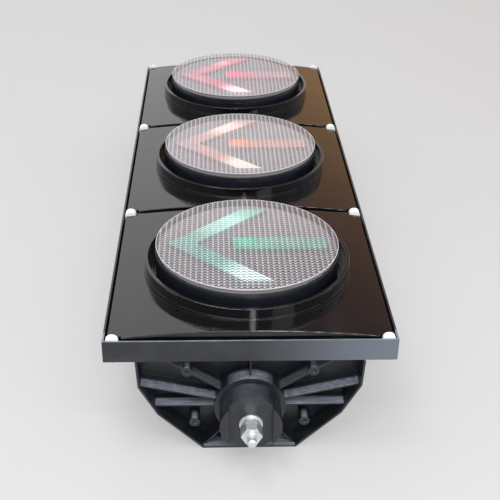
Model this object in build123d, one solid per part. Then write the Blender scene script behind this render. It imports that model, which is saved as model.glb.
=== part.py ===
from build123d import *
import os
from math import cos, radians, sqrt

# Three-section traffic signal head with arrow modules, lying on its back.
# Millimetres. +Z points out of the lenses, +Y along the column towards the red
# section, +X to the right seen from the front. The origin is the middle of the
# flat back, which is the surface the head lies on.

os.makedirs("parts", exist_ok=True)

# ---- column ----
section_names = ["green", "amber", "red"]
section_pitch = 385.0          # length of one section, end plane to end plane
column_half = len(section_names) * section_pitch / 2

# ---- housing: back body ----
shell_wall = 3.0
back_half = 70.0               # half width of the flat back
chamfer_half = 136.0           # half width where the steep side begins
chamfer_z = 65.0
waist_half = 163.0
waist_z = 115.0
neck_half = 165.5              # half width where the body meets the front tray
end_recess = 36.0              # depth of the ribbed pocket in each end
rib_recess = 6.5               # ribs and screw pillars stop this far short of the end plane
rib_wall = 2.2
rib_angles = [90, 34, 146, 13, 167, 0, 180, -47.5, 227.5]

# ---- housing: front tray ----
rim_half = 210.0
rim_top = 196.0
rim_height = 35.0
rim_wall = 2.8
gasket_drop = 13.0             # gasket's top face below the rim
gasket_height = 5.0

# ---- tie rod boss ----
axis_z = 76.4                  # height of the tie rod
boss_r = 52.5
boss_wall = 4.0
boss_recess = 1.0              # half of the seal that sits between two boss faces
web_wall = 4.0
sleeve_wall = 5.4
sleeve_length = 24.0
wire_window_r = 11.0
wire_window_x = 30.0

# ---- joint screws between sections, and the same holes free at the two ends ----
pillar_r = 8.0
screw_r = 2.5
screw_clearance = 0.25
screw_flats = 8.0
screw_head = 3.5
screw_nut = 4.0
screw_tail = 8.0               # length past the pillar's inner face
upper_pillar_x = 92.0
upper_pillar_z = 137.0
lower_pillar_x = 82.0
lower_pillar_z = 44.5

# ---- hinge and catch blocks ----
pin_inset = 13.7               # hinge axis from the rim's outer face; the catches mirror it
pin_drop = 6.0                 # hinge axis below the rim
pin_r = 2.5
pin_clearance = 0.06
pin_reach = 24.0               # pin tip, measured from the section's end plane
block_width = 18.5
block_rise = 6.5               # block's top above the rim
block_drop = 16.0              # block's seat below the rim
block_corner = 8.5
block_gap = 0.1
block_end_reach = 9.4          # a block at the end of the column
block_joint_reach = 7.0        # a block that bridges a joint, each way
block_slot_gap = 0.15          # notch in the end walls, beside a bridging block
block_screw_y = 4.9            # screw axis from the section's end plane
block_screw_r = 1.45
block_screw_clearance = 0.15
block_screw_grip = 6.0         # how far the screw enters the block
block_screw_head = 2.2

# ---- door ----
door_wall = 3.0
door_side_gap = 3.8            # door edge to the inner face of the rim's side wall
door_end_gap = 5.5             # door end to the section's end plane
crown_rise = 13.0              # the panel bulges this far above the rim
skirt_wall = 2.5
skirt_lip = 1.5                # the panel overhangs the end skirts
skirt_drop = 10.5
seal_rib_wall = 2.4
seal_rib_gap = 0.3             # free height over the gasket
notch_gap = 0.55               # clearance round a block, past its sweep
notch_end_gap = 1.2
knuckle_wall = 2.94
knuckle_gap = 0.6              # from the notch to the knuckle
knuckle_length = 12.0
edge_round = 1.0

# ---- LED module ----
bowl_r = 143.0
bowl_wall = 2.5
bowl_back_r = 95.0
bowl_depth = 61.0              # bowl's back below the rim
bowl_shoulder_drop = 24.0
bowl_stand = 11.7              # bowl's edge above the collar
flange_width = 10.0
flange_wall = 3.0
module_seal_wall = 3.0
seal_gap = 0.5
board_drop = 26.0              # LED board below the bowl's edge
board_wall = 1.6
board_clearance = 1.0
shelf_reach = 7.5
shelf_wall = 2.5
plate_drop = 3.0               # frosted plate below the bowl's edge
plate_wall = 2.0
plate_clearance = 0.9
post_r = 4.0
post_hole_r = 1.3
post_height = 12.5
driver_x = 50.0
driver_y = 30.0
gland_x = 70.0
gland_r = 6.0
gland_wall = 3.0
gland_head = 8.0
gland_nut = 4.0

# ---- collar on the door ----
collar_clearance = 1.0         # round the module's flange
collar_wall = 7.4
collar_step = 1.2              # the visor ring is this much smaller than the base
collar_drop = 2.0              # collar's lower edge below the rim
collar_base_rise = 15.0
collar_rise = 31.3
collar_round = 0.8
ledge_clearance = 4.0          # round the bowl
ledge_wall = 3.0
lug_angle = 41.0               # visor lugs, from the column's long axis
lug_span = 8.5
lug_rise = 1.0
nub_span = 1.3
nub_rise = 3.2
nub_height = 3.5

# ---- lens ----
lens_step = 1.2                # lens edge inside the bowl's edge
lens_wall = 2.5
lens_side = 9.0                # clear side wall above the bowl
lens_rise = 4.0
lens_seal_wall = 1.0
lens_seal_inset = 0.4
tongue_wall = 2.8
tongue_clearance = 1.2

# ---- arrow, pointing to -X ----
arrow_tip_margin = 17.8        # from the lens's edge
arrow_leg_margin = 29.8
arrow_leg_x = 8.0
arrow_leg_width = 45.0
shaft_left = -23.0
shaft_half = 20.0
guide_height = 8.0
led_r = 2.4
led_height = 7.0
led_pitch = 10.5

# ---- module clips ----
clip_angles = (45, 135, 225, 315)
clip_width = 16.0
clip_wall = 3.0
clip_margin = 0.4
clip_screw_r = 1.55
clip_screw_clearance = 0.05
clip_screw_grip = 12.0
clip_head_r = 3.8
clip_head_height = 2.6

# ---- end caps and tie rod ----
cap_r = 45.0
cap_gap = 0.1
cap_floor = 35.3               # channel floor, from the end plane
cap_top = 46.2                 # top of the two side segments
channel_width = 63.0
cap_bore_clearance = 0.08
cap_wall = 5.0
cap_web = 7.5
cap_hub_wall = 10.0
cap_round = 1.5
cap_seal_wall = 2.3
cap_seal_inset = 0.2
rod_r = 8.0
rod_clearance = 0.6
rod_tail = 16.8                # rod beyond its last nut
rod_tip_r = 7.0                # plain tip that guides a nut or a bush on to the thread
rod_chamfer = 2.5
washer_r = 17.0
washer_wall = 3.0
washer_clearance = 0.4
spring_r = 14.0
spring_wall = 4.0
spring_slit = 1.6
nut_flats = 27.0
nut_clearance = 0.05
nut_chamfer = 0.8
jam_height = 8.0
nut_height = 14.8

# ---- terminal block ----
terminal_x = -48.0
terminal_width = 26.0
terminal_height = 24.0
terminal_post = 6.0            # height of the two posts that carry it
terminal_ways = 8
terminal_pitch = 10.0
terminal_ear = 20.0            # plain end beyond the ways, with the fixing hole in its middle
terminal_fin = 1.6
terminal_spine = 6.0
terminal_screw_r = 2.4

# ---- values that follow ----
half = section_pitch / 2
section_y = {name: (i + 0.5) * section_pitch - column_half for i, name in enumerate(section_names)}
joints = [i * section_pitch - column_half for i in range(1, len(section_names))]
tray_floor = rim_top - rim_height
tray_top = tray_floor + shell_wall
opening_x = neck_half - shell_wall
opening_y = half - end_recess - shell_wall
upstand_top = rim_top - gasket_drop - gasket_height
pocket_grip = end_recess + shell_wall
rib_end = half - rib_recess
boss_face = half - boss_recess
screw_hole_r = screw_r + screw_clearance
pillars = [(side * x, z) for x, z in ((upper_pillar_x, upper_pillar_z), (lower_pillar_x, lower_pillar_z))
           for side in (-1, 1)]

pin_x = rim_half - pin_inset
pin_z = rim_top - pin_drop
block_top = rim_top + block_rise
pad_top = rim_top - block_drop
block_screw_hole_r = block_screw_r + block_screw_clearance
corner_x = block_width / 2 - block_corner
corner_z = block_top - block_corner - pin_z
block_sweep = sqrt(corner_x ** 2 + corner_z ** 2) + block_corner

door_half = rim_half - rim_wall - door_side_gap
door_end = half - door_end_gap
crown_top = rim_top + crown_rise
skirt_bottom = rim_top - skirt_drop
rib_bottom = rim_top - gasket_drop + seal_rib_gap
notch_x = pin_x - block_sweep - notch_gap
notch_reach = block_end_reach + notch_end_gap
bore_r = pin_r + pin_clearance
knuckle_r = bore_r + knuckle_wall

flange_r = bowl_r + flange_width
collar_inner_r = flange_r + collar_clearance
collar_base_r = collar_inner_r + collar_wall
collar_ring_r = collar_base_r - collar_step
collar_mid_r = (collar_inner_r + collar_base_r) / 2
collar_bottom = rim_top - collar_drop
collar_step_z = rim_top + collar_base_rise
collar_top = rim_top + collar_rise
ledge_inner_r = bowl_r + ledge_clearance
ledge_bottom = collar_bottom + flange_wall + module_seal_wall
clip_hole_r = clip_screw_r + clip_screw_clearance

bowl_inner_r = bowl_r - bowl_wall
bowl_back_z = rim_top - bowl_depth
bowl_shoulder_z = rim_top - bowl_shoulder_drop
bowl_top = collar_top + bowl_stand
board_z = bowl_top - board_drop
plate_z = bowl_top - plate_drop
driver_z = bowl_back_z + bowl_wall + post_height
guide_z = plate_z + plate_wall
lens_r = bowl_r - lens_step
lens_base = bowl_top + lens_seal_wall
lens_rim = lens_base + lens_side
arrow_tip = lens_r - arrow_tip_margin
arrow_leg_y = lens_r - arrow_leg_margin
arrow_run = arrow_tip - arrow_leg_x

rod_hole_r = rod_r + rod_clearance
washer_y = column_half + cap_floor + cap_gap
spring_y = washer_y + washer_wall
jam_y = spring_y + spring_wall
nut_y = jam_y + jam_height
rod_shoulder = nut_y + nut_height + rod_r - rod_tip_r
rod_end = nut_y + nut_height + rod_tail
terminal_base = shell_wall + terminal_post
terminal_deck = terminal_base + terminal_height / 2
terminal_ways_half = terminal_ways * terminal_pitch / 2
terminal_fixing_y = terminal_ways_half + terminal_ear / 2


# ---- small builders ----
def slab(x0, x1, y0, y1, z0, z1):
    """A box between two corners."""
    return Pos((x0 + x1) / 2, (y0 + y1) / 2, (z0 + z1) / 2) * Box(x1 - x0, y1 - y0, z1 - z0)


def rod_along_y(r, y0, y1, x=0.0, z=0.0):
    """A round bar along Y."""
    return Pos(x, (y0 + y1) / 2, z) * Rot(90, 0, 0) * Cylinder(r, y1 - y0)


def rod_along_z(r, z0, z1, x=0.0, y=0.0):
    """A round bar along Z."""
    return Pos(x, y, (z0 + z1) / 2) * Cylinder(r, z1 - z0)


def tube_along_y(r0, r1, y0, y1):
    """A ring about the tie rod's axis, between two radii."""
    return rod_along_y(r1, y0, y1, 0, axis_z) - rod_along_y(r0, y0 - 1, y1 + 1, 0, axis_z)


def prism_along_y(face, y0, y1):
    """A face drawn in X and Z, extruded from y0 to y1."""
    plane = Plane(origin=(0, y1, 0), x_dir=(1, 0, 0), z_dir=(0, -1, 0))
    return extrude(plane * face, amount=y1 - y0)


def turned(points):
    """A closed outline of (radius, z) points, turned about Z."""
    outline = make_face(Polyline(*[(r, 0, z) for r, z in points], close=True))
    return revolve(outline, Axis.Z)


def ring_sector(r0, r1, z0, z1, start, span):
    """Part of a ring about Z, between two angles."""
    outline = make_face(Polyline((r0, 0, z0), (r1, 0, z0), (r1, 0, z1), (r0, 0, z1), close=True))
    return Rot(0, 0, start) * revolve(outline, Axis.Z, revolution_arc=span)


def frame_of(outer_x, outer_y, wall, z0, z1):
    """A rectangular wall, open in the middle."""
    outer = slab(-outer_x, outer_x, -outer_y, outer_y, z0, z1)
    return outer - slab(-outer_x + wall, outer_x - wall, -outer_y + wall, outer_y - wall, z0 - 1, z1 + 1)


def on_both_ends(piece):
    """A piece at the high-Y end, and its mirror image at the low-Y end."""
    return piece + mirror(piece, about=Plane.XZ)


def pair(piece):
    """Two separate solids, one at each end of the column."""
    return [piece, mirror(piece, about=Plane.XZ)]


def hexagon(flats, x, z):
    """A hexagon in X and Z with flats at its top and bottom."""
    return Pos(x, z) * RegularPolygon(flats / 2, 6, major_radius=False)


def save(name, pieces):
    """Write one node, as a group where it has several solids."""
    solids = [solid for piece in pieces for solid in piece.solids()]
    node = solids[0] if len(solids) == 1 else Compound(children=solids)
    export_step(node, "parts/" + name + ".step")


# ---- housing ----
def body_outline(top, inset=0.0):
    """Cross-section of the back body up to a given height, drawn in by inset."""
    right = [(back_half, 0), (chamfer_half, chamfer_z), (waist_half, waist_z), (neck_half, tray_floor)]
    right.append((neck_half, top + inset))
    left = [(-x, z) for x, z in reversed(right)]
    face = make_face(Polyline(*right, *left, close=True))
    return offset(face, amount=-inset, kind=Kind.INTERSECTION) if inset else face


def end_pocket_parts():
    """Ribs, boss and screw pillars in the pocket at the high-Y end."""
    wall_y = opening_y + shell_wall / 2
    ribs = rod_along_y(boss_r, wall_y, rib_end, 0, axis_z)
    for angle in rib_angles:
        rib = slab(0, 2 * rim_half, wall_y, rib_end, -rib_wall / 2, rib_wall / 2)
        ribs += Pos(0, 0, axis_z) * Rot(0, -angle, 0) * rib
    ribs &= prism_along_y(body_outline(tray_floor + shell_wall / 2, shell_wall / 2), wall_y, rib_end)
    parts = ribs + rod_along_y(boss_r, wall_y, boss_face, 0, axis_z)
    for x, z in pillars:
        parts += rod_along_y(pillar_r, wall_y, rib_end, x, z)
    return parts


def end_pocket_cuts():
    """Hollow of the boss, the rod bore, the wire windows and the screw holes, at the high-Y end."""
    cuts = rod_along_y(boss_r - boss_wall, opening_y - 1, boss_face - web_wall, 0, axis_z)
    cuts -= rod_along_y(rod_hole_r + sleeve_wall, boss_face - sleeve_length, half, 0, axis_z)
    cuts += rod_along_y(rod_hole_r, opening_y - 1, half + 1, 0, axis_z)
    for x in (-wire_window_x, wire_window_x):
        cuts += rod_along_y(wire_window_r, boss_face - 2 * web_wall, half + 1, x, axis_z)
    for x, z in pillars:
        cuts += rod_along_y(screw_hole_r, opening_y - 1, half + 1, x, z)
    return cuts


def housing(bridged_sides):
    """One section's shell; at a bridged side (-1 or 1) the end wall is notched for its blocks."""
    shell = prism_along_y(body_outline(tray_top), -half, half)
    shell += slab(-rim_half, rim_half, -half, half, tray_floor, rim_top)
    inner_x = rim_half - rim_wall
    inner_y = half - rim_wall
    shell -= slab(-inner_x, inner_x, -inner_y, inner_y, tray_top, rim_top + 1)
    shell -= prism_along_y(body_outline(tray_top + 1, shell_wall), -opening_y, opening_y)
    shell -= on_both_ends(prism_along_y(body_outline(tray_floor, shell_wall), half - end_recess, half + 1))
    shell += frame_of(opening_x + shell_wall, opening_y + shell_wall, shell_wall, tray_floor, upstand_top)
    shell += on_both_ends(end_pocket_parts())
    shell -= on_both_ends(end_pocket_cuts())
    for x in (-pin_x, pin_x):
        left = x - block_width / 2
        right = x + block_width / 2
        shell += on_both_ends(slab(left, right, half - block_end_reach, half, tray_floor, pad_top))
        hole = rod_along_z(block_screw_hole_r, tray_floor - 1, pad_top + 1, x, half - block_screw_y)
        shell -= on_both_ends(hole)
        for side in bridged_sides:
            slot_half = block_width / 2 + block_slot_gap
            notch = slab(x - slot_half, x + slot_half, inner_y - 1, half + 1, pad_top, rim_top + 1)
            shell -= notch if side > 0 else mirror(notch, about=Plane.XZ)
    for y in (-terminal_fixing_y, terminal_fixing_y):
        shell += rod_along_z(post_r + 1, shell_wall / 2, terminal_base, terminal_x, y)
        shell -= rod_along_z(post_hole_r, shell_wall, terminal_base + 1, terminal_x, y)
    return shell


def door_gasket():
    """EPDM frame on the sealing wall round the opening."""
    top = upstand_top + gasket_height
    return frame_of(opening_x + shell_wall, opening_y + shell_wall, shell_wall, upstand_top, top)


# ---- hinge and catch blocks ----
def arch_outline(x):
    """Upright block with a round top, about a pin axis."""
    height = block_top - pad_top
    face = Pos(x, pad_top + height / 2) * Rectangle(block_width, height)
    return fillet(face.vertices().sort_by(Axis.Y)[-2:], block_corner)


def blocks(x):
    """Two end blocks and the bridging blocks on one side, each with its pin or pins."""
    face = arch_outline(x)
    bottom = pad_top - 1
    grip_top = pad_top + block_screw_grip
    start = column_half - block_end_reach
    end_block = prism_along_y(face, start, column_half - rim_wall - block_gap)
    end_block += rod_along_y(pin_r, column_half - pin_reach, start + 1, x, pin_z)
    end_block -= rod_along_z(block_screw_r, bottom, grip_top, x, column_half - block_screw_y)
    made = pair(end_block)
    for y in joints:
        bridge = prism_along_y(face, y - block_joint_reach, y + block_joint_reach)
        bridge += rod_along_y(pin_r, y - pin_reach, y + pin_reach, x, pin_z)
        for side in (-1, 1):
            bridge -= rod_along_z(block_screw_r, bottom, grip_top, x, y + side * block_screw_y)
        made.append(bridge)
    return made


def block_screws():
    """Slotted self-tapping screws that hold the blocks from under the tray."""
    head_r = 2 * block_screw_r
    head_bottom = tray_floor - block_screw_head
    made = []
    for x in (-pin_x, pin_x):
        for centre in section_y.values():
            for side in (-1, 1):
                y = centre + side * (half - block_screw_y)
                screw = rod_along_z(block_screw_r, tray_floor - 1, pad_top + block_screw_grip, x, y)
                screw += rod_along_z(head_r, head_bottom, tray_floor, x, y)
                slot = slab(x - head_r, x + head_r, y - 0.4, y + 0.4, head_bottom - 1, head_bottom + 0.9)
                made.append(screw - slot)
    return made


# ---- door ----
def crown_outline(drop, bottom):
    """Area under the crowned panel, its top lowered by drop."""
    edge = rim_top - drop
    crown = ThreePointArc((door_half, edge), (0, crown_top - drop), (-door_half, edge))
    sides = Polyline((-door_half, edge), (-door_half, bottom), (door_half, bottom), (door_half, edge))
    return make_face([crown, *sides.edges()])


def door_panel():
    """The crowned sheet, with its top edge rounded at both ends."""
    panel = prism_along_y(crown_outline(0, skirt_bottom), -door_end, door_end)
    panel -= prism_along_y(crown_outline(door_wall, skirt_bottom - 1), -door_end - 1, door_end + 1)
    arcs = panel.edges().filter_by(GeomType.CIRCLE)
    tops = [arc for arc in arcs if arc.bounding_box().max.Z > crown_top - door_wall / 2]
    return fillet(tops, edge_round)


def door_frames():
    """Skirts round the edge and the sealing rib over the gasket, trimmed to the crown."""
    skirts = frame_of(door_half, door_end - skirt_lip, skirt_wall, skirt_bottom, crown_top)
    overlap = (shell_wall + seal_rib_wall) / 2
    rib = frame_of(opening_x + overlap, opening_y + overlap, seal_rib_wall, rib_bottom, crown_top)
    return (skirts + rib) & prism_along_y(crown_outline(door_wall / 2, rib_bottom), -door_end, door_end)


def collar():
    """Ring round the module with a step for the visor, an inner ledge and four lugs."""
    ring = turned([
        (collar_inner_r, collar_bottom), (collar_base_r, collar_bottom), (collar_base_r, collar_step_z),
        (collar_ring_r, collar_step_z), (collar_ring_r, collar_top), (collar_inner_r, collar_top)])
    ring = fillet(ring.edges().group_by(Axis.Z)[-1], collar_round)
    ledge_top = ledge_bottom + ledge_wall
    root_r = collar_inner_r + 1
    ring += turned([
        (ledge_inner_r, ledge_bottom), (root_r, ledge_bottom),
        (root_r, ledge_top), (ledge_inner_r, ledge_top)])
    lug_top = collar_top - collar_round
    nub_top = collar_step_z + nub_height
    for end_angle in (-90, 90):
        for side in (-1, 1):
            edge = end_angle + side * lug_angle
            lug = edge if side > 0 else edge - lug_span
            nub = edge if side > 0 else edge - nub_span
            ring += ring_sector(root_r, collar_ring_r + lug_rise, collar_step_z, lug_top, lug, lug_span)
            ring += ring_sector(root_r, collar_ring_r + nub_rise, collar_step_z, nub_top, nub, nub_span)
    return ring


def door():
    """One section's door. Its left knuckles turn on the hinge pins; the right ones open downwards."""
    leaf = door_panel() + door_frames()
    leaf -= rod_along_z(collar_inner_r, rib_bottom - 1, crown_top + 1)
    leaf += collar()
    under_crown = prism_along_y(crown_outline(door_wall / 2, pin_z - knuckle_r), -door_end, door_end)
    end = half - notch_reach - knuckle_gap
    start = end - knuckle_length
    for side in (-1, 1):
        x = side * pin_x
        leaf += on_both_ends(rod_along_y(knuckle_r, start, end, x, pin_z)) & under_crown
        bore = rod_along_y(bore_r, start - 1, end + 1, x, pin_z)
        if side > 0:
            bore += slab(x - bore_r, x + bore_r, start - 1, end + 1, pin_z - knuckle_r, pin_z)
        leaf -= on_both_ends(bore)
        x0, x1 = sorted((side * notch_x, side * rim_half))
        leaf -= on_both_ends(slab(x0, x1, half - notch_reach, half, pad_top, crown_top))
    for angle in clip_angles:
        hole = rod_along_z(clip_hole_r, collar_bottom - 1, collar_bottom + clip_screw_grip + 1, collar_mid_r)
        leaf -= Rot(0, 0, angle) * hole
    return leaf


# ---- LED module ----
def module_bowl():
    """Turned back of the module with its clamping flange, two inner shelves and four posts."""
    shelf_r = bowl_inner_r - shelf_reach
    flange_top = collar_bottom + flange_wall
    bowl = turned([
        (0, bowl_back_z), (bowl_back_r, bowl_back_z), (bowl_r, bowl_shoulder_z), (bowl_r, collar_bottom),
        (flange_r, collar_bottom), (flange_r, flange_top), (bowl_r, flange_top), (bowl_r, bowl_top),
        (bowl_inner_r, bowl_top), (bowl_inner_r, plate_z), (shelf_r, plate_z),
        (shelf_r, plate_z - shelf_wall), (bowl_inner_r, plate_z - shelf_wall),
        (bowl_inner_r, board_z), (shelf_r, board_z),
        (shelf_r, board_z - shelf_wall), (bowl_inner_r, board_z - shelf_wall),
        (bowl_inner_r, bowl_shoulder_z + 1), (bowl_back_r - 1, bowl_back_z + bowl_wall),
        (0, bowl_back_z + bowl_wall)])
    post_x = driver_x - post_r - 1
    post_y = driver_y - post_r - 1
    for x in (-post_x, post_x):
        for y in (-post_y, post_y):
            bowl += rod_along_z(post_r, bowl_back_z + bowl_wall / 2, driver_z, x, y)
            bowl -= rod_along_z(post_hole_r, bowl_back_z + bowl_wall, driver_z + 1, x, y)
    return bowl - rod_along_z(gland_r, bowl_back_z - 1, bowl_back_z + bowl_wall + 1, gland_x)


def module_seal():
    """Flat ring squeezed between the module's flange and the collar's ledge."""
    low = collar_bottom + flange_wall
    inner = ledge_inner_r + seal_gap
    outer = collar_inner_r - seal_gap
    return turned([(inner, low), (outer, low), (outer, ledge_bottom), (inner, ledge_bottom)])


def lens():
    """Clear cover: side wall, shallow dome and a tongue inside the bowl."""
    tongue_r = bowl_inner_r - tongue_clearance
    tongue_inner_r = tongue_r - tongue_wall
    inner_r = lens_r - lens_wall
    crown_z = lens_rim + lens_rise
    inner_rim = lens_rim - lens_wall
    inner_crown = crown_z - lens_wall
    dome = ThreePointArc((-lens_r, 0, lens_rim), (0, 0, crown_z), (lens_r, 0, lens_rim)).trim(0.5, 1.0)
    ceiling = ThreePointArc((-inner_r, 0, inner_rim), (0, 0, inner_crown), (inner_r, 0, inner_rim))
    ceiling = ceiling.trim(0.5, 1.0)
    side = Polyline(
        (lens_r, 0, lens_rim), (lens_r, 0, lens_base), (tongue_r, 0, lens_base), (tongue_r, 0, guide_z),
        (tongue_inner_r, 0, guide_z), (tongue_inner_r, 0, lens_base + 1),
        (inner_r, 0, lens_base + 1 + tongue_wall), (inner_r, 0, inner_rim))
    middle = Line((0, 0, inner_crown), (0, 0, crown_z))
    return revolve(make_face([dome, *side.edges(), ceiling, middle]), Axis.Z)


def lens_seal():
    """Thin flat ring between the bowl's edge and the lens."""
    inner = bowl_inner_r - tongue_clearance / 2
    outer = bowl_r - lens_seal_inset
    return turned([(inner, bowl_top), (outer, bowl_top), (outer, lens_base), (inner, lens_base)])


def diffuser():
    """Frosted round plate that carries the arrow."""
    return rod_along_z(bowl_inner_r - plate_clearance, plate_z, guide_z)


def arrow_guide():
    """Tinted arrow in two blocks, a chevron and a shaft, standing on the frosted plate."""
    inner_tip = arrow_tip - arrow_leg_width
    chevron = make_face(Polyline(
        (-arrow_tip, 0), (-arrow_tip + arrow_run, arrow_leg_y), (-inner_tip + arrow_run, arrow_leg_y),
        (-inner_tip, 0), (-inner_tip + arrow_run, -arrow_leg_y), (-arrow_tip + arrow_run, -arrow_leg_y),
        close=True))
    head = Pos(0, 0, guide_z) * extrude(chevron, amount=guide_height)
    return [head, slab(shaft_left, arrow_tip, -shaft_half, shaft_half, guide_z, guide_z + guide_height)]


def led_places():
    """Centres of three rows of LEDs under each leg of the chevron and under the shaft."""
    along_leg = int(sqrt(arrow_run ** 2 + arrow_leg_y ** 2) / led_pitch)
    places = []
    for row in (0.25, 0.5, 0.75):
        for i in range(along_leg):
            t = (i + 0.5) / along_leg
            x = -arrow_tip + row * arrow_leg_width + t * arrow_run
            places += [(x, t * arrow_leg_y), (x, -t * arrow_leg_y)]
    length = arrow_tip - shaft_left
    along_shaft = int(length / led_pitch)
    for i in range(along_shaft):
        x = shaft_left + (i + 0.5) * length / along_shaft
        places += [(x, y) for y in (-shaft_half / 2, 0, shaft_half / 2)]
    return places


def led_board():
    """Round circuit board on the lower shelf."""
    return rod_along_z(bowl_inner_r - board_clearance, board_z, board_z + board_wall)


def arrow_leds():
    """Round LEDs with domed tips, in the arrow's shape."""
    base = board_z + board_wall
    shoulder = base + led_height - led_r
    body = rod_along_z(led_r, base, shoulder) + Pos(0, 0, shoulder) * Sphere(led_r)
    return [Pos(x, y, 0) * body for x, y in led_places()]


def driver_board():
    """Power supply board: transformer, two capacitors, heat sink and terminal on one plate."""
    top = driver_z + board_wall
    board = slab(-driver_x, driver_x, -driver_y, driver_y, driver_z, top)
    transformer = slab(-30, -6, -12, 12, top, top + 22)
    heat_sink = slab(-4, 1, -20, 20, top, top + 24)
    terminal = slab(28, 38, -14, 14, top, top + 12)
    capacitors = [rod_along_z(7, top, top + 20, 12, y) for y in (-12, 12)]
    return [board, transformer, heat_sink, terminal] + capacitors


def lead_gland():
    """Screwed bush in the bowl's back for the supply lead, with its nut and an open bore."""
    inside = bowl_back_z + bowl_wall
    outside = bowl_back_z - gland_head
    top = inside + gland_nut + 2
    outer_r = gland_r + gland_wall
    head = Pos(gland_x, 0, outside) * RegularPolygon(outer_r, 6, major_radius=False)
    bush = extrude(head, amount=gland_head)
    bush += rod_along_z(gland_r - 0.1, bowl_back_z - 1, top, gland_x)
    bush += rod_along_z(outer_r, inside, inside + gland_nut, gland_x)
    return bush - rod_along_z(gland_r - gland_wall, outside - 1, top + 1, gland_x)


def module_clips():
    """Short straps under the flange, screwed to the collar's lower edge."""
    low = collar_bottom - clip_wall
    far_r = collar_base_r - clip_margin
    strap = slab(ledge_inner_r, far_r, -clip_width / 2, clip_width / 2, low, collar_bottom)
    strap -= rod_along_z(clip_hole_r + 0.2, low - 1, collar_bottom + 1, collar_mid_r)
    return [Rot(0, 0, angle) * strap for angle in clip_angles]


def clip_screws():
    """Slotted pan-head screws through the clips."""
    low = collar_bottom - clip_wall
    head_bottom = low - clip_head_height
    screw = rod_along_z(clip_screw_r, low - 1, collar_bottom + clip_screw_grip, collar_mid_r)
    screw += rod_along_z(clip_head_r, head_bottom, low, collar_mid_r)
    near_r = collar_mid_r - clip_head_r
    far_r = collar_mid_r + clip_head_r
    screw -= slab(near_r, far_r, -0.5, 0.5, head_bottom - 1, head_bottom + 1)
    return [Rot(0, 0, angle) * screw for angle in clip_angles]


# ---- tie rod, caps and fasteners ----
def tie_rod():
    """Threaded rod right through the column, with a plain chamfered tip at both ends."""
    rod = rod_along_y(rod_r, -rod_shoulder, rod_shoulder, 0, axis_z)
    rod = chamfer(rod.edges().filter_by(GeomType.CIRCLE), rod_r - rod_tip_r)
    tip = rod_along_y(rod_tip_r, 0, rod_end, 0, axis_z)
    tip = chamfer(tip.edges().filter_by(GeomType.CIRCLE).group_by(Axis.Y)[-1], rod_chamfer)
    return rod + on_both_ends(tip)


def end_cap():
    """Swivelling cap at the high-Y end: hollow behind, with a straight channel for the bracket."""
    start = column_half + boss_recess + cap_gap
    floor_y = column_half + cap_floor
    far_y = column_half + cap_top
    cap = rod_along_y(cap_r, start, far_y, 0, axis_z)
    cap = fillet(cap.edges().filter_by(GeomType.CIRCLE).group_by(Axis.Y)[-1], cap_round)
    low = axis_z - cap_r - 1
    high = axis_z + cap_r + 1
    cap -= slab(-channel_width / 2, channel_width / 2, floor_y, far_y + 1, low, high)
    hollow = tube_along_y(rod_r + cap_hub_wall, cap_r - cap_wall, start - 1, floor_y - cap_web)
    for angle in range(0, 180, 45):
        web = slab(-cap_r, cap_r, start - 2, floor_y, -rib_wall / 2, rib_wall / 2)
        hollow -= Pos(0, 0, axis_z) * Rot(0, angle, 0) * web
    cap -= hollow
    return cap - rod_along_y(rod_r + cap_bore_clearance, start - 1, far_y + 1, 0, axis_z)


def boss_seals():
    """Flat rings: one between each two sections and one under each cap."""
    outer = cap_r - cap_seal_inset
    inner = outer - cap_seal_wall
    planes = [-column_half, *joints, column_half]
    return [tube_along_y(inner, outer, y - boss_recess, y + boss_recess) for y in planes]


def spring_washer():
    """Split lock washer at the high-Y end."""
    ring = tube_along_y(rod_r + washer_clearance, spring_r, spring_y, jam_y)
    low = axis_z - spring_slit / 2
    return ring - slab(0, spring_r + 1, spring_y - 1, jam_y + 1, low, low + spring_slit)


def hex_nut(y0, height):
    """Hexagon nut on the rod with both faces chamfered."""
    corner_r = nut_flats / 2 / cos(radians(30))
    barrel = rod_along_y(corner_r, y0, y0 + height, 0, axis_z)
    barrel = chamfer(barrel.edges().filter_by(GeomType.CIRCLE), nut_chamfer)
    nut = prism_along_y(hexagon(nut_flats, 0, axis_z), y0, y0 + height) & barrel
    return nut - rod_along_y(rod_r + nut_clearance, y0 - 1, y0 + height + 1, 0, axis_z)


def joint_screw(x, z, y):
    """Hexagon screw through two facing pillars."""
    shank = rod_along_y(screw_r, y - pocket_grip - 1, y + pocket_grip + screw_tail, x, z)
    return shank + prism_along_y(hexagon(screw_flats, x, z), y - pocket_grip - screw_head, y - pocket_grip)


def joint_nut(x, z, y):
    """Nut on the far end of a joint screw."""
    near = y + pocket_grip
    nut = prism_along_y(hexagon(screw_flats, x, z), near, near + screw_nut)
    return nut - rod_along_y(screw_r + nut_clearance, near - 1, near + screw_nut + 1, x, z)


# ---- terminal block in the green section ----
def terminal_block():
    """Moulded strip with a fin beside each way and a spine down its middle."""
    y = section_y["green"]
    left = terminal_x - terminal_width / 2
    right = terminal_x + terminal_width / 2
    reach = terminal_ways_half + terminal_ear
    top = terminal_base + terminal_height
    strip = slab(left, right, y - reach, y + reach, terminal_base, terminal_deck)
    for i in range(terminal_ways + 1):
        fin_y = y - terminal_ways_half + i * terminal_pitch
        strip += slab(left, right, fin_y - terminal_fin / 2, fin_y + terminal_fin / 2, terminal_base, top)
    spine = terminal_spine / 2
    strip += slab(terminal_x - spine, terminal_x + spine, y - terminal_ways_half, y + terminal_ways_half,
                  terminal_base, top)
    for side in (-1, 1):
        hole_y = y + side * terminal_fixing_y
        strip -= rod_along_z(post_hole_r + 0.6, terminal_base - 1, top, terminal_x, hole_y)
    return strip


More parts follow.
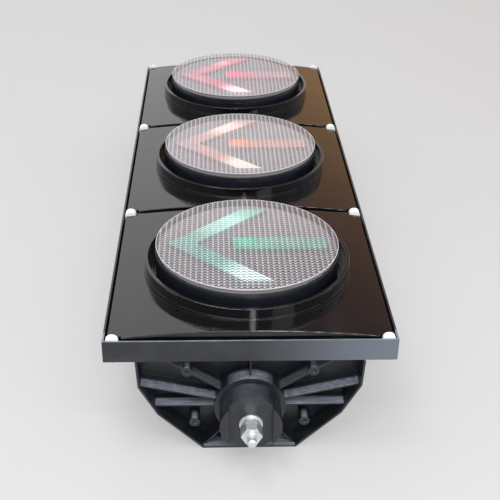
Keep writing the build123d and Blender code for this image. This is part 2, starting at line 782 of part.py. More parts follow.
def terminal_screws():
    """Clamping screws, two to a way, and the two fixing screws."""
    y = section_y["green"]
    reach = (terminal_width + terminal_spine) / 4
    made = []
    for i in range(terminal_ways):
        way_y = y - terminal_ways_half + (i + 0.5) * terminal_pitch
        for x in (terminal_x - reach, terminal_x + reach):
            made.append(rod_along_z(terminal_screw_r, terminal_deck, terminal_deck + 4, x, way_y))
    for side in (-1, 1):
        hole_y = y + side * terminal_fixing_y
        fixing = rod_along_z(post_hole_r - 0.05, shell_wall + 1, terminal_deck + 1, terminal_x, hole_y)
        made.append(fixing + rod_along_z(3.4, terminal_deck, terminal_deck + 2.4, terminal_x, hole_y))
    return made


# ---- write the nodes ----
section_pieces = {
    "door": [door()], "door_gasket": [door_gasket()], "module_bowl": [module_bowl()],
    "module_seal": [module_seal()], "lens": [lens()], "lens_seal": [lens_seal()], "diffuser": [diffuser()],
    "arrow_guide": arrow_guide(), "led_board": [led_board()], "arrow_leds": arrow_leds(),
    "driver_board": driver_board(), "lead_gland": [lead_gland()], "module_clips": module_clips(),
    "clip_screws": clip_screws()}

for index, name in enumerate(section_names):
    place = Pos(0, section_y[name], 0)
    bridged = [side for side in (-1, 1) if 0 <= index + side < len(section_names)]
    save(name + "_housing", [place * housing(bridged)])
    for piece_name, group in section_pieces.items():
        save(name + "_" + piece_name, [place * piece for piece in group])

cap = end_cap()
flat_washer = tube_along_y(rod_r + washer_clearance, washer_r, washer_y, spring_y)
save("hinge_blocks", blocks(-pin_x))
save("catch_blocks", blocks(pin_x))
save("block_screws", block_screws())
save("boss_seals", boss_seals())
save("joint_screws", [joint_screw(x, z, y) for y in joints for x, z in pillars])
save("joint_nuts", [joint_nut(x, z, y) for y in joints for x, z in pillars])
save("tie_rod", [tie_rod()])
save("upper_cap", [cap])
save("lower_cap", [mirror(cap, about=Plane.XZ)])
save("flat_washers", pair(flat_washer))
save("spring_washers", pair(spring_washer()))
save("jam_nuts", pair(hex_nut(jam_y, jam_height)))
save("end_nuts", pair(hex_nut(nut_y, nut_height)))
save("terminal_block", [terminal_block()])
save("terminal_screws", terminal_screws())
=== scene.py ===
import math

import bmesh
import bpy
from mathutils import Matrix, Vector


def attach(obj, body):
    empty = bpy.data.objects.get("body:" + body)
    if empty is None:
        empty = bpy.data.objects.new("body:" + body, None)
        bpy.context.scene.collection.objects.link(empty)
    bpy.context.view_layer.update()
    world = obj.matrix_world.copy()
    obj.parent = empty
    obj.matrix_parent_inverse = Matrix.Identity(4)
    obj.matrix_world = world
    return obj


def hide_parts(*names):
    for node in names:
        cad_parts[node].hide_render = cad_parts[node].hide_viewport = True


# A three-section traffic signal head with left arrows, lying on its flat back.
# The green section is nearest the camera, then amber, then red.
# CAD nodes carry everything but the lenses and arrows, which are modelled here
# and stand for their CAD nodes.

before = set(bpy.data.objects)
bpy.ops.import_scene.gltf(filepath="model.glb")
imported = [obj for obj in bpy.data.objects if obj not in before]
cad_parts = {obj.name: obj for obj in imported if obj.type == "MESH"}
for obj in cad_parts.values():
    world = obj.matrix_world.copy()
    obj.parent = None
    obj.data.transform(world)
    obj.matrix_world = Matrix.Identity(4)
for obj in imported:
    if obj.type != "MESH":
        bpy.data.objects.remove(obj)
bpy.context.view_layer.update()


# ---- floor, studio light and camera ----
# A pale back-lit board under four softboxes. Past the far end the room is light
# grey on the left and brown on the right, and the doors mirror both.
def linear(code):
    """An sRGB hex colour as linear RGBA."""
    shades = [int(code[i:i + 2], 16) / 255 for i in (1, 3, 5)]
    return [s / 12.92 if s <= 0.04045 else ((s + 0.055) / 1.055) ** 2.4 for s in shades] + [1.0]


def add(tree, kind, inputs=None, **options):
    """A node with its options, and for each input a value or the socket that feeds it."""
    node = tree.nodes.new("ShaderNode" + kind)
    for option, value in options.items():
        setattr(node, option, value)
    for name, value in (inputs or {}).items():
        if isinstance(value, bpy.types.NodeSocket):
            tree.links.new(value, node.inputs[name])
        else:
            node.inputs[name].default_value = value
    return node


def start_material(name, **sockets):
    """A material with a Principled shader: the material, its tree, the shader and Object coordinates."""
    material = bpy.data.materials.new(name)
    material.use_nodes = True
    tree = material.node_tree
    tree.nodes.clear()
    shader = add(tree, "BsdfPrincipled", {key.replace("_", " "): value for key, value in sockets.items()})
    add(tree, "OutputMaterial", {"Surface": shader.outputs["BSDF"]})
    return material, tree, shader, add(tree, "TexCoord").outputs["Object"]


board, tree, shader, place = start_material(
    "back_lit_acrylic_board", Roughness=0.6, Emission_Color=(1.0, 1.0, 1.0, 1.0), Emission_Strength=0.365)
mottle = add(tree, "TexNoise", {"Vector": place, "Scale": 3.0, "Detail": 3.0})
tone = add(tree, "Mix", {0: mottle.outputs["Fac"], 6: linear("#8d8d8d"), 7: linear("#929292")},
           data_type="RGBA")
tree.links.new(tone.outputs[2], shader.inputs["Base Color"])

bm = bmesh.new()
bmesh.ops.create_grid(bm, x_segments=1, y_segments=1, size=7.0)
mesh = bpy.data.meshes.new("floor")
bm.to_mesh(mesh)
bm.free()
floor = bpy.data.objects.new("floor", mesh)
bpy.context.scene.collection.objects.link(floor)
mesh.materials.append(board)

world = bpy.data.worlds.new("studio")
bpy.context.scene.world = world
world.use_nodes = True
sky = world.node_tree
sky.nodes.clear()
toward = add(sky, "SeparateXYZ", {"Vector": add(sky, "TexCoord").outputs["Generated"]})
right_wall = add(sky, "MapRange", {"Value": toward.outputs["X"], "From Min": 0.05, "From Max": 0.15},
                 interpolation_type="SMOOTHSTEP")
far_end = add(sky, "MapRange", {"Value": toward.outputs["Y"], "From Min": 0.55, "From Max": 0.75},
              interpolation_type="SMOOTHSTEP")
brown = add(sky, "ValToRGB", {"Fac": toward.outputs["Z"]})
brown.color_ramp.elements[0].position = 0.31
brown.color_ramp.elements[0].color = (0.95, 0.57, 0.29, 1)
brown.color_ramp.elements[1].position = 0.56
brown.color_ramp.elements[1].color = (0.19, 0.13, 0.14, 1)
brown.color_ramp.elements.new(0.43).color = (0.48, 0.28, 0.19, 1)
wall = add(sky, "Mix", {0: right_wall.outputs["Result"], 6: (1.25, 1.25, 1.27, 1),
                        7: brown.outputs["Color"]},
           data_type="RGBA")
room = add(sky, "Mix", {0: far_end.outputs["Result"], 6: (0.80, 0.80, 0.82, 1), 7: wall.outputs[2]},
           data_type="RGBA")
background = add(sky, "Background", {"Color": room.outputs[2], "Strength": 1.0})
add(sky, "OutputWorld", {"Surface": background.outputs["Background"]})


def softbox(name, size_x, size_y, power, place, aim):
    """A rectangular area light at a place, facing a point."""
    light = bpy.data.lights.new(name, "AREA")
    light.shape = "RECTANGLE"
    light.size = size_x
    light.size_y = size_y
    light.energy = power
    lamp = bpy.data.objects.new(name, light)
    bpy.context.scene.collection.objects.link(lamp)
    lamp.location = place
    lamp.rotation_euler = (Vector(aim) - Vector(place)).to_track_quat("-Z", "Y").to_euler()


softbox("overhead_box", 0.9, 0.7, 14, (-0.4, -0.6, 2.3), (0, 0, 0))
softbox("edge_strip", 2.2, 0.15, 20, (0, -1.6, 1.95), (0, -0.3, 0.2))
softbox("front_box", 0.2, 0.8, 13, (0.18, -2.4, 1.5), (0, -0.4, 0.1))
softbox("side_box", 0.6, 0.5, 3, (0.9, -1.5, 0.9), (0.1, -0.6, 0.1))

PITCH, YAW, ROLL = (math.radians(a) for a in (29.943, 2.570, 0.963))
camera = bpy.data.objects.new("camera", bpy.data.cameras.new("camera"))
bpy.context.scene.collection.objects.link(camera)
camera.data.sensor_width = 36
camera.data.lens = 68.68
tilted = Matrix.Rotation(math.pi / 2 - PITCH, 4, "X") @ Matrix.Rotation(ROLL, 4, "Z")
turned = Matrix.Rotation(-YAW, 4, "Z") @ tilted
camera.matrix_world = Matrix.Translation((-0.0533, -1.6752, 0.9765)) @ turned
bpy.context.scene.camera = camera
bpy.context.scene.view_settings.view_transform = "Standard"

# ---- housings ----
# Three like shells of black polycarbonate, injection moulded. The mould gives a
# satin skin with faint grain and flow marks, which softens the light. A pale
# sheen is painted in streaks on the up-facing end faces and ribs, and the rim's
# end is painted lighter towards the right. Both stand in for light from the
# front. Pale dust specks lie all over.
MM = 0.001
SECTION_PITCH = 385 * MM
SECTIONS = {"green": -SECTION_PITCH, "amber": 0.0, "red": SECTION_PITCH}
RUB_LENGTH = 45 * MM
STREAK_LENGTH = 30 * MM
STREAK_WIDTH = 2 * MM
ROD_Z = 76.4 * MM
BOSS_RADIUS = 46 * MM     # the painted sheen is mostly kept off the round boss
RIM_FROM = 158 * MM
SHEEN_FROM = 552 * MM      # painted sheen lies on the end faces and their ribs only
GRAIN = 1.6 * MM          # the real grain is 0.1 mm, drawn coarser so that it shows
DUST_SPACING = 9 * MM
EDGE_RADIUS = 0.7 * MM


def dress(names, material):
    """Give CAD nodes a material."""
    for name in names:
        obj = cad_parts[name]
        obj.data.materials.clear()
        obj.data.materials.append(material)


housing_skin, tree, shader, place = start_material("moulded_black_polycarbonate", IOR=1.58)
rounded = add(tree, "Bevel", {"Radius": EDGE_RADIUS}, samples=4).outputs["Normal"]
rubs = add(tree, "TexNoise", {"Vector": place, "Scale": 1 / RUB_LENGTH, "Detail": 6.0, "Roughness": 0.65})
rub_mask = add(tree, "MapRange", {"Value": rubs.outputs["Fac"], "From Min": 0.50, "From Max": 0.72})
plastic = add(tree, "Mix", {0: rub_mask.outputs["Result"], 6: linear("#14171d"), 7: linear("#282d36")},
              data_type="RGBA")
upward = add(tree, "SeparateXYZ", {"Vector": add(tree, "TexCoord").outputs["Normal"]}).outputs["Z"]
# Painted sheen: up-facing faces at the ends are painted pale in streaks. This stands in for light from the
# front and above.
faces_up = add(tree, "MapRange", {"Value": upward, "From Min": 0.75, "From Max": 0.98})
spot = add(tree, "SeparateXYZ", {"Vector": place})
endward = add(tree, "Math", {0: spot.outputs["Y"]}, operation="ABSOLUTE")
at_end = add(tree, "MapRange", {"Value": endward.outputs[0], "From Min": SHEEN_FROM,
                                "From Max": SHEEN_FROM + 4 * MM})
streaked = add(tree, "Mapping", {"Vector": place, "Scale": (1 / STREAK_LENGTH, 1 / STREAK_WIDTH,
                                                            1 / STREAK_WIDTH)})
streaks = add(tree, "TexNoise", {"Vector": streaked.outputs["Vector"], "Scale": 1.0, "Detail": 4.0})
streak_mask = add(tree, "MapRange", {"Value": streaks.outputs["Fac"], "From Min": 0.35, "From Max": 0.65,
                                    "To Min": 0.35, "To Max": 1.0})
painted_sheen = add(tree, "Math", {0: faces_up.outputs["Result"], 1: streak_mask.outputs["Result"]},
            operation="MULTIPLY")
painted_sheen = add(tree, "Math", {0: painted_sheen.outputs[0], 1: at_end.outputs["Result"]}, operation="MULTIPLY")
from_rod = add(tree, "CombineXYZ", {"X": spot.outputs["X"], "Z": spot.outputs["Z"]})
from_rod = add(tree, "VectorMath", {0: from_rod.outputs["Vector"], 1: (0, 0, ROD_Z)}, operation="DISTANCE")
off_boss = add(tree, "MapRange", {"Value": from_rod.outputs["Value"], "From Min": BOSS_RADIUS,
                                 "From Max": BOSS_RADIUS + 2 * MM,
                                 "To Min": 0.2})
painted_sheen = add(tree, "Math", {0: painted_sheen.outputs[0], 1: off_boss.outputs["Result"]}, operation="MULTIPLY")
# The painted sheen's pale colour is mixed in here.
plastic = add(tree, "Mix", {0: painted_sheen.outputs[0], 6: plastic.outputs[2], 7: linear("#888f9b")},
              data_type="RGBA")
# Painted sheen: the rim's end is painted lighter towards the right. This stands in for a light at the front
# right.
painted_rim_sheen = add(tree, "MapRange", {"Value": spot.outputs["X"], "From Min": -0.03, "From Max": 0.21,
                                 "To Max": 0.75},
              interpolation_type="SMOOTHSTEP")
on_rim = add(tree, "MapRange", {"Value": spot.outputs["Z"], "From Min": RIM_FROM,
                                "From Max": RIM_FROM + 2 * MM})
painted_rim_sheen = add(tree, "Math", {0: painted_rim_sheen.outputs["Result"], 1: at_end.outputs["Result"]},
              operation="MULTIPLY")
painted_rim_sheen = add(tree, "Math", {0: painted_rim_sheen.outputs[0], 1: on_rim.outputs["Result"]}, operation="MULTIPLY")
plastic = add(tree, "Mix", {0: painted_rim_sheen.outputs[0], 6: plastic.outputs[2], 7: linear("#6c747f")},
              data_type="RGBA")
specks = add(tree, "TexVoronoi", {"Vector": place, "Scale": 1 / DUST_SPACING})
speck_mask = add(tree, "MapRange", {"Value": specks.outputs["Distance"], "From Min": 0.055,
                                    "From Max": 0.03})
dusty = add(tree, "Mix", {0: speck_mask.outputs["Result"], 6: plastic.outputs[2], 7: linear("#8c9098")},
            data_type="RGBA")
tree.links.new(dusty.outputs[2], shader.inputs["Base Color"])
rough = add(tree, "MapRange", {"Value": rubs.outputs["Fac"], "From Min": 0.3, "From Max": 0.7,
                              "To Min": 0.26, "To Max": 0.44})
tree.links.new(rough.outputs["Result"], shader.inputs["Roughness"])
grain = add(tree, "TexNoise", {"Vector": place, "Scale": 1 / GRAIN, "Detail": 2.0})
relief = add(tree, "Bump", {"Height": grain.outputs["Fac"], "Normal": rounded, "Strength": 0.25,
                           "Distance": 0.05 * MM})
tree.links.new(relief.outputs["Normal"], shader.inputs["Normal"])
dress([f"{s}_housing" for s in SECTIONS], housing_skin)

# ---- doors with their collars ----
# Black polycarbonate from a mirror-polished mould, so it reflects like lacquer.
# Handling leaves faint smears, and the sheet is very slightly wavy.
WAVE = 60 * MM
SMEAR = 90 * MM

door_skin, tree, shader, place = start_material("polished_black_polycarbonate", IOR=1.58)
rounded = add(tree, "Bevel", {"Radius": 1.0 * MM}, samples=4).outputs["Normal"]
along = add(tree, "Mapping", {"Vector": place, "Rotation": (0, 0, 0.25), "Scale": (1.0, 0.3, 1.0)})
smears = add(tree, "TexNoise", {"Vector": along.outputs["Vector"], "Scale": 1 / SMEAR, "Detail": 5.0,
                               "Distortion": 0.6})
gloss = add(tree, "MapRange", {"Value": smears.outputs["Fac"], "From Min": 0.35, "From Max": 0.75,
                              "To Min": 0.05, "To Max": 0.17})
tree.links.new(gloss.outputs["Result"], shader.inputs["Roughness"])
film = add(tree, "MapRange", {"Value": smears.outputs["Fac"], "From Min": 0.55, "From Max": 0.8})
lacquer = add(tree, "Mix", {0: film.outputs["Result"], 6: linear("#0d0c0e"), 7: linear("#1d1b1d")},
              data_type="RGBA")
tree.links.new(lacquer.outputs[2], shader.inputs["Base Color"])
waves = add(tree, "TexNoise", {"Vector": place, "Scale": 1 / WAVE, "Detail": 1.0})
relief = add(tree, "Bump", {"Height": waves.outputs["Fac"], "Normal": rounded, "Strength": 0.5,
                           "Distance": 0.4 * MM})
tree.links.new(relief.outputs["Normal"], shader.inputs["Normal"])
dress([f"{s}_door" for s in SECTIONS], door_skin)

# ---- hinge and catch blocks ----
# White nylon, moulded in one piece with their pins. Nylon looks slightly waxy,
# because light goes a little way in, and its skin is satin.
nylon, tree, shader, place = start_material(
    "moulded_white_nylon", IOR=1.53, Roughness=0.38, Subsurface_Weight=0.15, Subsurface_Scale=2 * MM)
rounded = add(tree, "Bevel", {"Radius": 1.0 * MM}, samples=4).outputs["Normal"]
cloud = add(tree, "TexNoise", {"Vector": place, "Scale": 1 / (6 * MM), "Detail": 4.0})
white = add(tree, "Mix", {0: cloud.outputs["Fac"], 6: linear("#e8e8e4"), 7: linear("#fbfbf8")},
            data_type="RGBA")
tree.links.new(white.outputs[2], shader.inputs["Base Color"])
relief = add(tree, "Bump", {"Height": cloud.outputs["Fac"], "Normal": rounded, "Strength": 0.2,
                            "Distance": 0.1 * MM})
tree.links.new(relief.outputs["Normal"], shader.inputs["Normal"])
dress(["hinge_blocks", "catch_blocks"], nylon)

# ---- gaskets and seals ----
# Door frames of extruded EPDM rubber and die-cut rings, held by being squeezed.
# The rubber is matt grey-black, with a trace of talc.
rubber, tree, shader, place = start_material("extruded_epdm_rubber", IOR=1.52, Roughness=0.78)
talc = add(tree, "TexNoise", {"Vector": place, "Scale": 1 / (4 * MM), "Detail": 5.0})
grey = add(tree, "Mix", {0: talc.outputs["Fac"], 6: linear("#161616"), 7: linear("#2e2e2d")},
           data_type="RGBA")
tree.links.new(grey.outputs[2], shader.inputs["Base Color"])
relief = add(tree, "Bump", {"Height": talc.outputs["Fac"], "Strength": 0.4, "Distance": 0.1 * MM})
tree.links.new(relief.outputs["Normal"], shader.inputs["Normal"])
dress([f"{s}_{kind}" for s in SECTIONS for kind in ("door_gasket", "module_seal",
                                                    "lens_seal")] + ["boss_seals"],
      rubber)

# ---- lamp modules ----
# Bowls of blue-black polycarbonate, moulded, with a satin wall and faint flow
# marks. Spring clips clamp them in the collars.
bowl_skin, tree, shader, place = start_material("moulded_blue_black_polycarbonate", IOR=1.58)
rounded = add(tree, "Bevel", {"Radius": 0.5 * MM}, samples=4).outputs["Normal"]
flow = add(tree, "TexNoise", {"Vector": place, "Scale": 1 / (35 * MM), "Detail": 4.0})
blue = add(tree, "Mix", {0: flow.outputs["Fac"], 6: linear("#101219"), 7: linear("#1c1f28")},
           data_type="RGBA")
tree.links.new(blue.outputs[2], shader.inputs["Base Color"])
satin = add(tree, "MapRange", {"Value": flow.outputs["Fac"], "To Min": 0.18, "To Max": 0.34})
tree.links.new(satin.outputs["Result"], shader.inputs["Roughness"])
tree.links.new(rounded, shader.inputs["Normal"])
dress([f"{s}_module_bowl" for s in SECTIONS], bowl_skin)

# ---- frosted plates ----
# Cast acrylic discs that rest in the bowls under the arrows. They are
# sand-blasted, so they look milky and scatter the light of the LEDs.
frost, tree, shader, place = start_material("sandblasted_white_acrylic", IOR=1.49, Roughness=0.6)
blast = add(tree, "TexNoise", {"Vector": place, "Scale": 1 / (1.5 * MM), "Detail": 3.0})
milk = add(tree, "Mix", {0: blast.outputs["Fac"], 6: linear("#9c9799"), 7: linear("#aaa5a7")},
           data_type="RGBA")
tree.links.new(milk.outputs[2], shader.inputs["Base Color"])
relief = add(tree, "Bump", {"Height": blast.outputs["Fac"], "Strength": 0.3, "Distance": 0.05 * MM})
tree.links.new(relief.outputs["Normal"], shader.inputs["Normal"])
dress([f"{s}_diffuser" for s in SECTIONS], frost)

# ---- arrows ----
# Chevron and shaft cut from clear acrylic, with a tinted film on top, resting on
# the frosted plate. Pale pools, a vivid spot near the shaft's left end and a
# greying of the tint along the arrow are painted light. The whole film also glows
# faintly by emission, more in the pools and the spot, though the arrow is no lamp.
LENS_RIM = 141.8
TIP = 124.0
LEG_END_Y = 112.0
LEG_X = 8.0
LEG_WIDTH = 45.0
SHAFT_LEFT = -23.0
SHAFT_HALF = 18.5
GUIDE_LOW = 238.0
GUIDE_HIGH = 246.0
GUIDE_MIDDLE = (GUIDE_LOW + GUIDE_HIGH) / 2
EDGE_BREAK = 0.7
BRIGHT_SPOT_AT = (-4.0, 3.0)     # painted bright spot, near the shaft's left end
BRIGHT_SPOT_REACH = 22.0
BRIGHT_SPOT_CORE = 6.0
TINTS = {"green": ("#2fc4a4", "#dcfff6"), "amber": ("#e8813c", "#fff0e0"), "red": ("#ee3f63", "#ffd9df")}
VIVID = {"green": "#10d8b4", "amber": "#ff8a20", "red": "#ff2f5c"}
POOLS = {"green": ((5, -98, 75, 1.0), (-38, 72, 78, 0.5)), "amber": ((8, -98, 66, 1.0), (-30, 78, 60, 0.75)),
         "red": ((0, -100, 52, 1.0), (-35, 78, 30, 0.4))}
FADES = {"green": (0.55, 0.10, 0.30), "amber": (0.85, 0.40, 0.60), "red": (0.50, 0.10, 0.75)}

for section, (deep, pale) in TINTS.items():
    tint, tree, shader, place = start_material(f"tinted_{section}_acrylic", IOR=1.49, Roughness=0.25)
    centre_y = SECTIONS[section]
    # Painted highlight: pale pools and a faint random cloud are painted into the film's colour. They stand
    # in for the overhead light.
    cloud = add(tree, "TexNoise", {"Vector": place, "Scale": 1 / (40 * MM), "Detail": 2.0})
    glow = add(tree, "MapRange", {"Value": cloud.outputs["Fac"], "From Min": 0.3, "From Max": 0.7,
                                  "To Max": 0.2})
    for x, y, reach, share in POOLS[section]:
        away = add(tree, "VectorMath", {0: place, 1: (x * MM, y * MM + centre_y, GUIDE_MIDDLE * MM)},
                   operation="DISTANCE")
        pool = add(tree, "MapRange", {"Value": away.outputs["Value"], "From Min": reach * MM,
                                      "From Max": reach * 0.2 * MM, "To Max": share},
                   interpolation_type="SMOOTHSTEP")
        glow = add(tree, "Math", {0: glow.outputs[0], 1: pool.outputs["Result"]}, operation="ADD",
                   use_clamp=True)
    hue = add(tree, "Mix", {0: glow.outputs[0], 6: linear(deep), 7: linear(pale)}, data_type="RGBA")
    # Painted light: the tint is mixed towards pale grey by set amounts at the point, the legs and the shaft.
    # This stands in for how the light falls along the arrow.
    along = add(tree, "MapRange", {"Value": add(tree, "SeparateXYZ", {"Vector": place}).outputs["X"],
                                   "From Min": -TIP * MM, "From Max": TIP * MM})
    fade = add(tree, "ValToRGB", {"Fac": along.outputs["Result"]})
    stops = fade.color_ramp.elements
    at_tip, at_legs, at_shaft = FADES[section]
    stops[0].color = (at_tip, at_tip, at_tip, 1)
    stops[1].position = 0.75
    stops[1].color = (at_shaft, at_shaft, at_shaft, 1)
    for position in (0.35, 0.62):
        stops.new(position).color = (at_legs, at_legs, at_legs, 1)
    hue = add(tree, "Mix", {0: fade.outputs["Color"], 6: hue.outputs[2], 7: linear("#b4aaad")},
              data_type="RGBA")
    # Painted highlight: a vivid bright spot near the shaft's left end.
    bright_spot_place = (BRIGHT_SPOT_AT[0] * MM, centre_y + BRIGHT_SPOT_AT[1] * MM, GUIDE_MIDDLE * MM)
    away = add(tree, "VectorMath", {0: place, 1: bright_spot_place}, operation="DISTANCE")
    bright_spot = add(tree, "MapRange", {"Value": away.outputs["Value"], "From Min": BRIGHT_SPOT_REACH * MM,
                                  "From Max": BRIGHT_SPOT_CORE * MM}, interpolation_type="SMOOTHSTEP")
    hue = add(tree, "Mix", {0: bright_spot.outputs["Result"], 6: hue.outputs[2], 7: linear(VIVID[section])},
              data_type="RGBA")
    facing = add(tree, "SeparateXYZ", {"Vector": add(tree, "TexCoord").outputs["Normal"]}).outputs["Z"]
    printed = add(tree, "MapRange", {"Value": facing, "From Min": 0.3, "From Max": 0.7, "To Min": 0.4})
    hue = add(tree, "Mix", {0: printed.outputs["Result"], 6: linear("#8f898c"), 7: hue.outputs[2]},
              data_type="RGBA")
    tree.links.new(hue.outputs[2], shader.inputs["Base Color"])
    # The painted light also glows by emission, though the arrow is no lamp.
    tree.links.new(hue.outputs[2], shader.inputs["Emission Color"])
    power = add(tree, "MapRange", {"Value": glow.outputs[0], "To Min": 0.10, "To Max": 0.85})
    power = add(tree, "Math", {0: bright_spot.outputs["Result"], 1: 0.3, 2: power.outputs["Result"]},
                operation="MULTIPLY_ADD")
    power = add(tree, "Math", {0: power.outputs[0], 1: printed.outputs["Result"]}, operation="MULTIPLY")
    tree.links.new(power.outputs[0], shader.inputs["Emission Strength"])
    bm = bmesh.new()
    outlines = [
        [(-TIP, 0), (-LEG_X, -LEG_END_Y), (-LEG_X + LEG_WIDTH, -LEG_END_Y), (-TIP + LEG_WIDTH, 0),
         (-LEG_X + LEG_WIDTH, LEG_END_Y), (-LEG_X, LEG_END_Y)],
        [(SHAFT_LEFT, -SHAFT_HALF), (TIP, -SHAFT_HALF), (TIP, SHAFT_HALF), (SHAFT_LEFT, SHAFT_HALF)]]
    for outline in outlines:
        corners = [bm.verts.new((x, y, GUIDE_LOW)) for x, y in outline]
        base = bm.faces.new(corners)
        raised = bmesh.ops.extrude_face_region(bm, geom=[base])["geom"]
        top = [v for v in raised if isinstance(v, bmesh.types.BMVert)]
        bmesh.ops.translate(bm, verts=top, vec=(0, 0, GUIDE_HIGH - GUIDE_LOW))
    bmesh.ops.recalc_face_normals(bm, faces=bm.faces)
    bmesh.ops.bevel(bm, geom=bm.edges, offset=EDGE_BREAK, offset_type="OFFSET", affect="EDGES", segments=2,
                    profile=0.5,
                    material=-1)
    bmesh.ops.scale(bm, vec=(MM, MM, MM), verts=bm.verts)
    bmesh.ops.translate(bm, verts=bm.verts, vec=(0, centre_y, 0))
    mesh = bpy.data.meshes.new(f"{section}_arrow")
    bm.to_mesh(mesh)
    bm.free()
    arrow = bpy.data.objects.new(f"{section}_arrow", mesh)
    bpy.context.scene.collection.objects.link(arrow)
    mesh.materials.append(tint)
    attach(arrow, f"{section}_leaf")
    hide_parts(f"{section}_arrow_guide")

# ---- lenses ----
# Clear polycarbonate covers, injection moulded as a field of pillow lenslets.
# Their flanks catch light as pale lines, and each shows a dark arc where it looks
# past the lamp, weaker on the sun-hazed amber and red covers.
LENSLET_X = 8.2
LENSLET_Y = 7.0
LENSLET_DEPTH = 0.7
LENSLETS_ACROSS = 36
LENSLETS_ALONG = 42
ARC_BEND = 0.42           # rise of an arc at its ends, in lenslets
LIP_WIDTH = 1.2           # width of the painted highlight round the face's edge
LIP_LOW = 247.2
LENS_WALL = 2.5
LENS_BASE = 240.0
LENS_EDGE = 249.0
LENS_CROWN = 253.0
TONGUE_R = 139.3
TONGUE_WALL = 2.8
TONGUE_LOW = 238.0
ROUND_STEPS = 180
DOME_RADIUS = (LENS_RIM ** 2 + (LENS_CROWN - LENS_EDGE) ** 2) / (2 * (LENS_CROWN - LENS_EDGE))

cover, tree, shader, place = start_material("moulded_clear_polycarbonate", IOR=1.58, Roughness=0.12)
flat = add(tree, "SeparateXYZ", {"Vector": place})
column = add(tree, "Math", {0: flat.outputs["X"], 1: LENSLET_X * MM}, operation="DIVIDE")
column = add(tree, "Math", {0: column.outputs[0], 1: 0.5}, operation="ADD")
across = add(tree, "Math", {0: column.outputs[0]}, operation="FRACT")
across = add(tree, "Math", {0: across.outputs[0], 1: 2.0, 2: -1.0}, operation="MULTIPLY_ADD")
offside = add(tree, "Math", {0: across.outputs[0]}, operation="ABSOLUTE")
squared = add(tree, "Math", {0: across.outputs[0], 1: across.outputs[0]}, operation="MULTIPLY")
row = add(tree, "Math", {0: flat.outputs["Y"], 1: LENSLET_Y * MM}, operation="DIVIDE")
row = add(tree, "Math", {0: squared.outputs[0], 1: ARC_BEND, 2: row.outputs[0]}, operation="MULTIPLY_ADD")
phase = add(tree, "Math", {0: row.outputs[0]}, operation="FRACT")
phase = add(tree, "Math", {0: phase.outputs[0], 1: 0.5}, operation="SUBTRACT")
phase = add(tree, "Math", {0: phase.outputs[0]}, operation="ABSOLUTE")
arc = add(tree, "MapRange", {"Value": phase.outputs[0], "From Min": 0.30, "From Max": 0.16},
          interpolation_type="SMOOTHSTEP")
line = add(tree, "MapRange", {"Value": offside.outputs[0], "From Min": 0.55, "From Max": 0.85},
           interpolation_type="SMOOTHSTEP")
turn = add(tree, "Math", {0: flat.outputs["Y"], 1: SECTION_PITCH}, operation="DIVIDE")
turn = add(tree, "Math", {0: turn.outputs[0], 1: 0.5}, operation="ADD")
turn = add(tree, "Math", {0: turn.outputs[0]}, operation="FRACT")
near = add(tree, "MapRange", {"Value": turn.outputs[0], "From Min": 0.95, "From Max": 0.25, "To Min": 0.5},
           interpolation_type="SMOOTHSTEP")
haze = add(tree, "MapRange", {"Value": flat.outputs["Y"], "From Min": -0.30, "From Max": 0.05, "To Min": 1.0,
                             "To Max": 0.25})
shade = add(tree, "Math", {0: near.outputs["Result"], 1: haze.outputs["Result"]}, operation="MULTIPLY")
shade = add(tree, "Math", {0: shade.outputs[0], 1: arc.outputs["Result"]}, operation="MULTIPLY")
turned_y = add(tree, "Math", {0: turn.outputs[0], 1: 0.5}, operation="SUBTRACT")
turned_y = add(tree, "Math", {0: turned_y.outputs[0], 1: SECTION_PITCH}, operation="MULTIPLY")
spoke = add(tree, "CombineXYZ", {"X": flat.outputs["X"], "Y": turned_y.outputs[0]})
reach = add(tree, "VectorMath", {0: spoke.outputs["Vector"]}, operation="LENGTH")
fall = add(tree, "Math", {0: reach.outputs["Value"], 1: reach.outputs["Value"]}, operation="MULTIPLY")
level = add(tree, "Math", {0: fall.outputs[0], 1: 0.5 / (DOME_RADIUS * MM), 2: flat.outputs["Z"]},
            operation="MULTIPLY_ADD")
face = add(tree, "MapRange", {"Value": level.outputs[0], "From Min": (LENS_CROWN - 1.8) * MM,
                             "From Max": (LENS_CROWN - 1.4) * MM})
line_tone = add(tree, "Mix", {0: line.outputs["Result"], 6: linear("#b4aaae"), 7: linear("#e6e2e6")},
                data_type="RGBA")
arc_tone = add(tree, "Mix", {0: shade.outputs[0], 6: line_tone.outputs[2], 7: linear("#24242c")},
               data_type="RGBA")
tone = add(tree, "Mix", {0: face.outputs["Result"], 6: linear("#2a2c36"), 7: arc_tone.outputs[2]},
           data_type="RGBA")
# Painted highlight: a pale, nearly opaque ring round the face's edge.
lip = add(tree, "MapRange", {"Value": reach.outputs["Value"], "From Min": (LENS_RIM - LIP_WIDTH) * MM,
                            "From Max": (LENS_RIM - LIP_WIDTH + 0.5) * MM})
lip_high = add(tree, "MapRange", {"Value": flat.outputs["Z"], "From Min": LIP_LOW * MM,
                                 "From Max": (LIP_LOW + 0.4) * MM})
lip = add(tree, "Math", {0: lip.outputs["Result"], 1: lip_high.outputs["Result"]}, operation="MULTIPLY")
tone = add(tree, "Mix", {0: lip.outputs[0], 6: tone.outputs[2], 7: linear("#d6d8de")}, data_type="RGBA")
tree.links.new(tone.outputs[2], shader.inputs["Base Color"])
body = add(tree, "MapRange", {"Value": haze.outputs["Result"], "To Min": 0.40, "To Max": 0.24})
veil = add(tree, "Mix", {0: line.outputs["Result"], 2: body.outputs["Result"], 3: 0.48}, data_type="FLOAT")
veil = add(tree, "Mix", {0: shade.outputs[0], 2: veil.outputs[0], 3: 0.80}, data_type="FLOAT")
